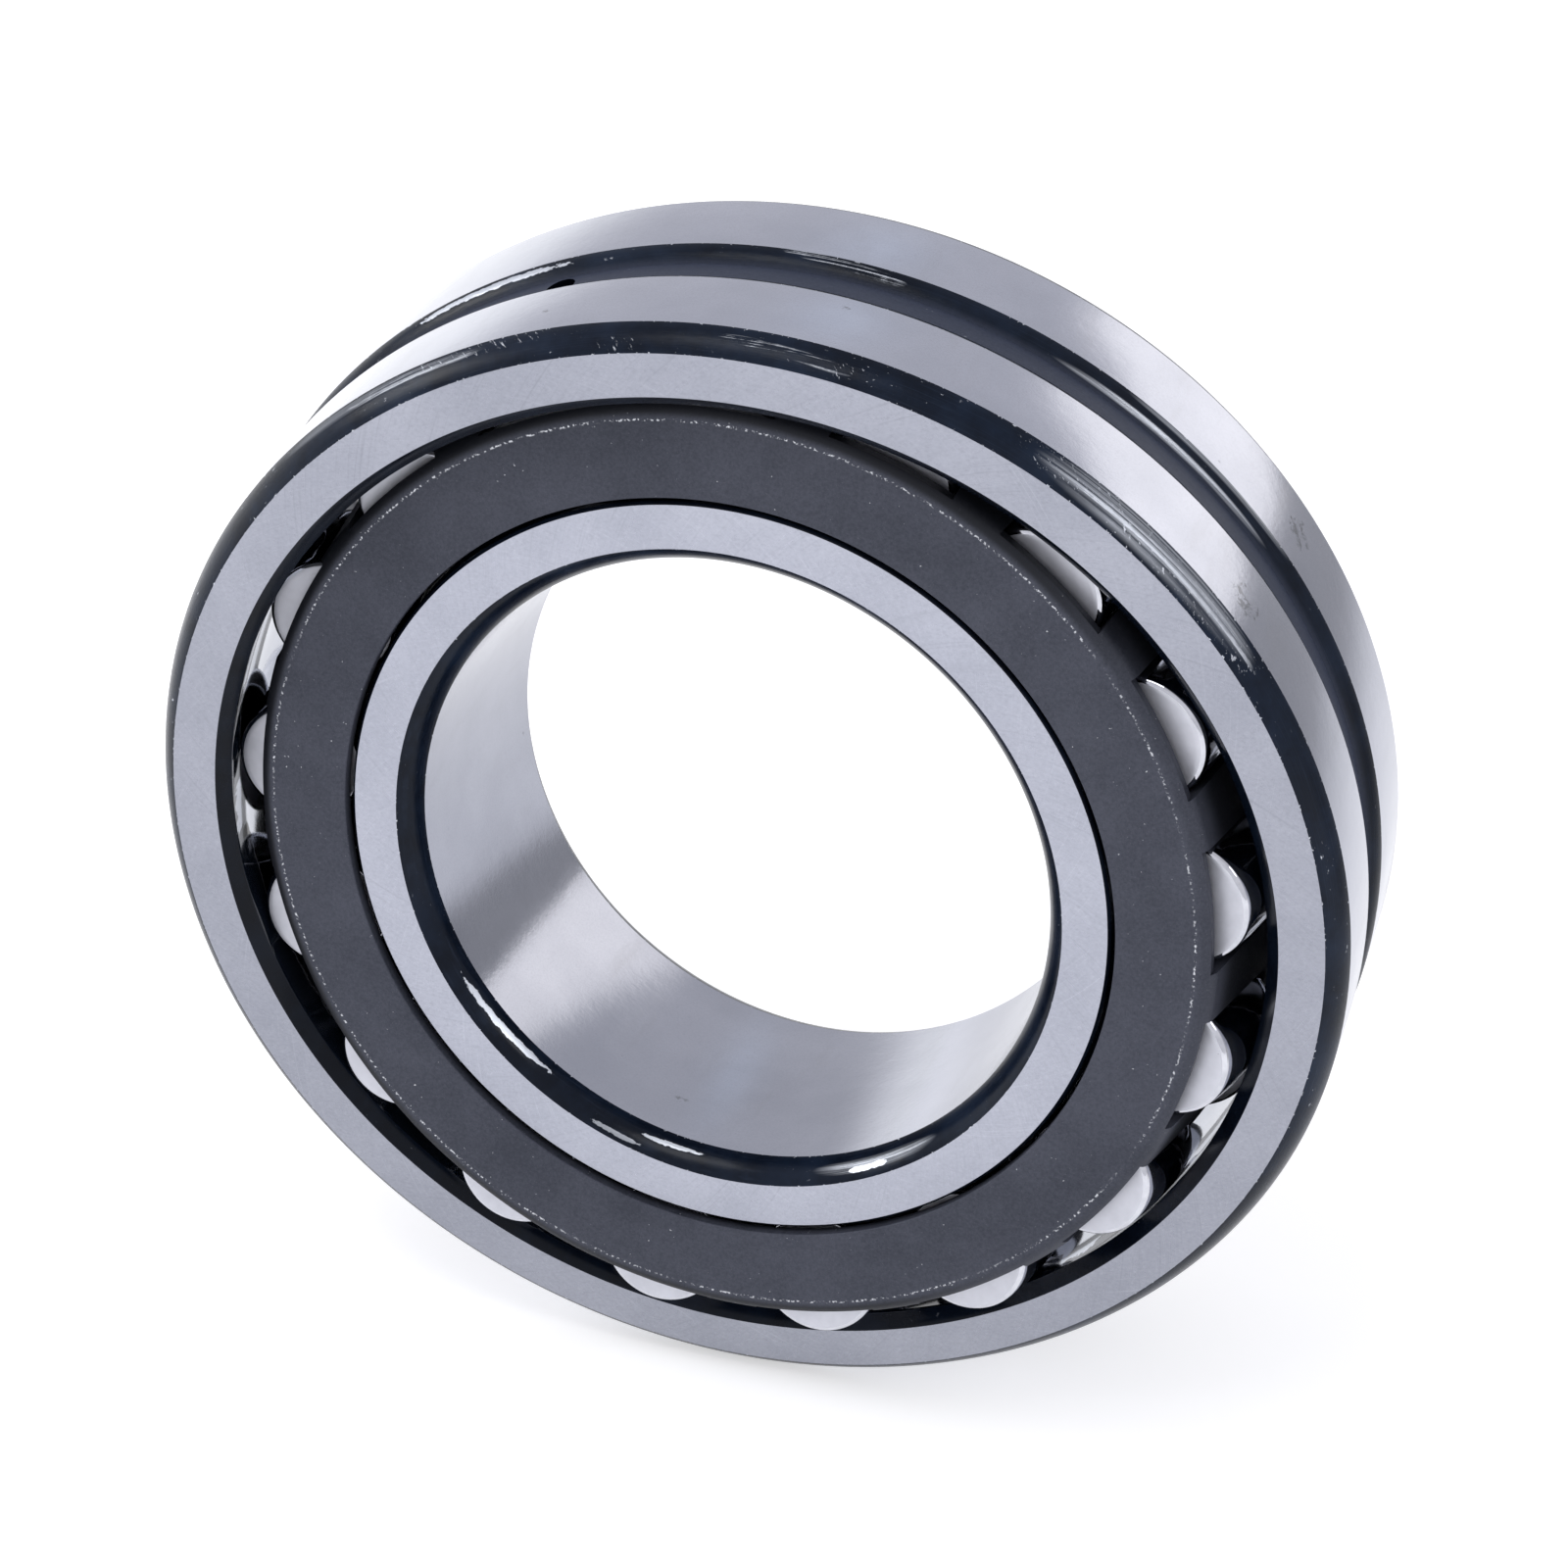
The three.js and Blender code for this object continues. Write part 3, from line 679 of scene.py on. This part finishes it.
# ------------------------------------------------------------------ inner ring
def inner_ring():
    H, r0 = 15.5, 32.5
    contact = CENTRE_R - ROLLER_R - 0.10
    half = []
    half += [(r0, 0.0)]
    ch = arc((r0, 12.9), (34.46, 15.5), 0.26, 9)
    half += fillets([(r0, 8), (r0, 12.9, 0.06, 2), ch[1]], closed=False)[1:-1]
    half += ch[1:-1]
    t_end = 6.02
    race = []
    for t in np.linspace(t_end, -5.95, 22):
        d = contact + t * t / (2 * SPHERE_R)
        race.append((d * CA - t * SA, d * SA + t * CA))
    half += fillets([ch[-2], (34.46, 15.5, 0.05, 2), (38.9, 15.5, 0.05, 2), (39.2, 15.2, 0.08, 2), (39.2, 13.0, 0.1, 2), (38.85, 12.72, 0.15, 3), race[0], race[1]], closed=False)[1:-1]
    half += race[1:]
    half += fillets([race[-1], (41.42, race[-1][1] - 0.1, 0.04, 2), (41.42, 0)], closed=False)[1:]
    full = half + [(r, -y) for r, y in reversed(half[1:-1])]
    v, f = lathe(full, 320)
    me = build("inner_ring_body", v, f)

    def region(r, y, nr, ny):
        ay = np.abs(y)
        idx = np.full(len(r), 1)
        idx[ay > 15.46] = 0
        idx[(r < 34.47) & (ay > 12.88) & (ay <= 15.47)] = 2
        idx[(r > 38.0) & (ay <= 15.46)] = 4
        idx[(r > 39.45) & (ay < 12.46)] = 3
        return idx

    return finish_piece("bearing_inner_ring", me, "inner_ring", "inner_ring",
                        [m_face_in, m_bore, m_bore_chamfer, m_race_in, m_land], region, TILT, sharp=24)


# ------------------------------------------------------------------ guide ring
def guide_ring():
    prof = fillets([(41.6, -0.5, 0.12, 2), (49.2, -1.68, 0.25, 4), (49.2, 1.68, 0.25, 4), (41.6, 0.5, 0.12, 2)])
    v, f = lathe(prof, 256)
    return finish_piece("bearing_guide_ring", build("guide", v, f), "guide_ring", "guide_ring", [m_guide], None, TILT)


# ------------------------------------------------------------------ cages
CAGE_FACE, CAGE_T = 16.0, 1.4
WALL_IN = 2.42
WALL_OUT = WALL_IN + CAGE_T
CUT_R = 49.0  # the windows reach the flange's bend down to this radius
WINDOW_W = 12.8


def section(d, t):
    return d * CA - t * SA, d * SA + t * CA


def cage(side, phase, name, node):
    din, dout = CENTRE_R + WALL_IN, CENTRE_R + WALL_OUT
    under = CAGE_FACE - CAGE_T
    t_at = lambda d, y: (y - d * SA) / CA
    rim_y = 0.42
    # sharp corners of the section, rounded afterwards
    top_out = section(dout, t_at(dout, CAGE_FACE))
    top_in = section(din, t_at(din, under))
    prof = fillets([
        (39.75, under, 0.12, 2),
        (39.75, CAGE_FACE, 0.22, 3),
        (top_out[0], CAGE_FACE, 1.85, 11),
        (*section(dout, t_at(dout, rim_y)), 0.25, 3),
        (*section(din, t_at(din, rim_y)), 0.2, 3),
        (top_in[0], under, 0.45, 5),
    ])
    prof = [(r, side * y) for r, y in prof]
    v, f = lathe(prof, ROWS * 20)
    body = build("cage_sheet", v, f)
    tw = ROLLER_LEN / 2 + 0.32
    rc = 1.0  # window corner radius
    hw = WINDOW_W / 2
    ss = [-hw]
    for k in range(1, 6):
        ss.append(-hw + rc * (1 - math.cos(k * math.pi / 10)))
    ss = sorted(ss + [-s for s in ss] + [-4.2, -2.8, -1.4, 0.0, 1.4, 2.8, 4.2])
    tv, tf, off = [], [], 0
    for k in range(ROWS):
        a = phase + k * PITCH
        cs, sn = math.cos(a), math.sin(a)
        loops = []
        for s in ss:
            d = max(0.0, abs(s) - (hw - rc))
            tmin = -tw + rc - math.sqrt(max(0.0, rc * rc - d * d))
            edge = math.sqrt(CUT_R * CUT_R - s * s)
            poly = [
                (edge, CAGE_FACE + 2),
                (edge, under - 0.1),
                (47.3, under - 0.1),
                section(din - 1.0, tw - 0.05),
                section(din - 1.0, tmin),
                section(dout + 2.6, tmin),
                section(dout + 2.6, tw),
                (CUT_R + 5.5, CAGE_FACE + 2),
            ]
            loops.append([(r * cs - s * sn, side * y, r * sn + s * cs) for r, y in poly])
        n = len(loops[0])
        base = off
        for lp in loops:
            tv += lp
            off += n
        L = len(loops)
        for i in range(L - 1):
            for j in range(n):
                j2 = (j + 1) % n
                tf.append((base + i * n + j, base + i * n + j2, base + (i + 1) * n + j2, base + (i + 1) * n + j))
        tf.append(tuple(base + j for j in range(n)))
        tf.append(tuple(base + (L - 1) * n + j for j in reversed(range(n))))
    tool = build("windows", tv, tf)
    me = cut(body, tool, "cage_sheet")
    bm = bmesh.new()
    bm.from_mesh(me)
    bmesh.ops.remove_doubles(bm, verts=bm.verts, dist=0.002)
    bmesh.ops.dissolve_degenerate(bm, edges=bm.edges, dist=0.001)
    bm.to_mesh(me)
    bm.free()
    return finish_piece(name, me, node, node, [m_sheet], None, TILT, sharp=28)


# ------------------------------------------------------------------ rollers
def roller_mesh():
    L2 = ROLLER_LEN / 2
    crown = lambda t: math.sqrt((CENTRE_R + ROLLER_R) ** 2 - t * t) - CENTRE_R
    e = L2 - 0.42
    side = [(crown(t), t) for t in np.linspace(-e, e, 15)]
    up = arc((crown(e), e), (5.88, L2), -0.08, 6)
    prof = [(0, -L2), (3.0, -L2), (5.5, -L2)] + [(r, -y) for r, y in reversed(up)] + side[1:-1] + up + [(5.5, L2), (3.0, L2), (0, L2)]
    return lathe(prof, 72, closed=False)


def rollers(side, phase, prefix, node_prefix):
    rv, rf = roller_mesh()
    L2 = ROLLER_LEN / 2
    for k in range(ROWS):
        a = phase + k * PITCH
        out = Vector((math.cos(a), 0, math.sin(a)))
        face = Vector((0, side, 0))
        axis = (out * -SA + face * CA).normalized()
        cen = out * (CENTRE_R * CA) + face * (CENTRE_R * SA)
        x = (out * CA + face * SA).normalized()
        z = x.cross(axis)
        mt = Matrix.Identity(4)
        for i in range(3):
            mt[i][0], mt[i][1], mt[i][2], mt[i][3] = x[i], axis[i], z[i], cen[i]
        node = "%s%02d" % (node_prefix, k + 1)
        me = build("roller", rv, rf)

        def region(r, y, nr, ny):
            return np.where(np.abs(y) > L2 - 0.02, 0, 1)

        seed = ((k * 7 + (3 if side > 0 else 0)) % 17) / 17.0
        finish_piece("%s%02d" % (prefix, k + 1), me, node, node, [m_rend, m_rside], region, TILT @ mt, sharp=24, seed=seed)


outer_ring()
inner_ring()
guide_ring()
cage(-1, FRONT_PHASE, "bearing_cage_front", "cage_front")
cage(1, FRONT_PHASE + PITCH / 2, "bearing_cage_back", "cage_back")
rollers(-1, FRONT_PHASE, "bearing_roller_front_", "roller_front_")
rollers(1, FRONT_PHASE + PITCH / 2, "bearing_roller_back_", "roller_back_")

# ------------------------------------------------------------------ floor
fl = bpy.data.meshes.new("floor")
X0, X1, Y0, Y1, Z = -0.95, 0.95, -1.3, 0.44, -0.0601
fl.from_pydata([(X0, Y0, Z), (X1, Y0, Z), (X1, Y1, Z), (X0, Y1, Z)], [], [(0, 1, 2, 3)])
floor = bpy.data.objects.new("floor", fl)
bpy.context.scene.collection.objects.link(floor)
at = fl.attributes.new("part_mm", "FLOAT_VECTOR", "POINT")
at.data.foreach_set("vector", [1000.0 * c for v in fl.vertices for c in v.co])
fm = Nodes("pale_floor")
set_base(fm, 0.0, 0.85, (0.72, 0.72, 0.73), spec=0.1)
# Painted light on the floor: it glows with emission so its shadows stay faint. A zone behind on the right is painted
# darker and glows less, and a zone behind on the left glows more; the steel reflects both.
painted_floor_shade = fm.math("MULTIPLY", fm.range(fm.x, 95.0, 260.0, 0, 1, True), fm.range(fm.y, -60.0, 40.0, 0, 1, True))
glow = fm.math("MULTIPLY", fm.range(fm.x, -20.0, -110.0, 0, 1, True), fm.range(fm.y, 20.0, 110.0, 0, 1, True))
fm.link(fm.mix(painted_floor_shade, (0.72, 0.72, 0.73), (0.32, 0.32, 0.33)), fm.b.inputs["Base Color"])
fm.b.inputs["Emission Color"].default_value = (1.0, 1.0, 1.0, 1.0)
strength = fm.math("ADD", fm.range(painted_floor_shade, 0.0, 1.0, 0.50, 0.20), fm.math("MULTIPLY", glow, 0.30))
fm.link(strength, fm.b.inputs["Emission Strength"])
fl.materials.append(fm.mat)


# ------------------------------------------------------------------ light
class World(Nodes):
    """The studio round the object, by direction: pale walls, a bright panel low on the right behind, a dim zone under it."""

    def __init__(self):
        self.world = bpy.data.worlds.new("studio")
        bpy.context.scene.world = self.world
        self.world.use_nodes = True
        self.t = self.world.node_tree
        bg = self.t.nodes["Background"]
        tc = self.add("ShaderNodeTexCoord")
        nrm = self.add("ShaderNodeVectorMath", operation="NORMALIZE")
        self.link(tc.outputs["Generated"], nrm.inputs[0])
        sep = self.add("ShaderNodeSeparateXYZ")
        self.link(nrm.outputs[0], sep.inputs[0])
        x, y, z = sep.outputs
        deg = 57.29578
        el = self.math("MULTIPLY", self.math("ARCSINE", z), deg)
        az = self.math("MULTIPLY", self.math("ARCTAN2", x, y), deg)
        left = self.range(az, -8, -20, 0, 1, True)
        low_left = self.math("MULTIPLY", left, self.range(el, 14, 0, 0, 1, True))
        edge = self.math("SUBTRACT", el, self.math("MAXIMUM", self.math("MULTIPLY", self.math("SUBTRACT", az, 31.0), 0.6), 0.0))
        inner = self.range(az, 12, 17, 0, 1, True)
        outer = self.range(az, 75, 58, 0, 1, True)
        side = self.math("MULTIPLY", inner, outer)
        panel = self.math("MULTIPLY", self.math("MULTIPLY", side, self.range(edge, 0.2, 2.4, 0, 1, True)), self.range(el, 25.5, 21.5, 0, 1, True))
        under = self.math("MULTIPLY", self.math("MULTIPLY", self.range(az, 4, 14, 0, 1, True), self.range(az, 95, 70, 0, 1, True)), self.range(edge, 2.4, 0.2, 0, 1, True))
        d1 = self.math("MULTIPLY", self.math("ADD", az, 7.0), 0.18)
        d2 = self.math("MULTIPLY", self.math("SUBTRACT", el, 30.0), 0.30)
        blob = self.math("EXPONENT", self.math("MULTIPLY", self.math("ADD", self.math("MULTIPLY", d1, d1), self.math("MULTIPLY", d2, d2)), -1.0))
        high = self.range(el, 36, 60, 0, 1, True)
        col = self.mix(high, (0.82, 0.82, 0.86), (0.62, 0.62, 0.65))
        col = self.mix(low_left, col, (1.52, 1.52, 1.52))
        col = self.mix(panel, col, (1.86, 1.81, 1.76))
        col = self.mix(under, col, (0.50, 0.50, 0.52))
        col = self.mix(self.math("MULTIPLY", blob, 0.5), col, (1.15, 1.25, 1.40))
        self.link(col, bg.inputs[0])
        bg.inputs[1].default_value = 1.0


World()


def soft_box(name, az, el, dist, size, radiance, color=(1, 1, 1)):
    """A soft box in the direction az (from the front, to the right) and el, degrees, aimed at the object."""
    a, e = math.radians(az), math.radians(el)
    where = Vector((math.sin(a) * math.cos(e), -math.cos(a) * math.cos(e), math.sin(e))) * dist
    d = bpy.data.lights.new(name, "AREA")
    d.shape = "RECTANGLE"
    d.size, d.size_y = size
    d.energy = radiance * math.pi * size[0] * size[1]
    d.color = color
    o = bpy.data.objects.new(name, d)
    bpy.context.scene.collection.objects.link(o)
    o.location = where
    o.rotation_euler = (-where).to_track_quat("-Z", "Y").to_euler()
    return o


soft_box("light_top", -30, 68, 1.3, (0.66, 0.30), 4.0)
soft_box("light_left", -82, 28, 1.3, (0.45, 0.32), 7.5)
soft_box("light_right", 62, 38, 1.3, (0.26, 0.34), 4.0)

bpy.context.scene.view_settings.view_transform = "Standard"
bpy.context.scene.view_settings.look = "None"
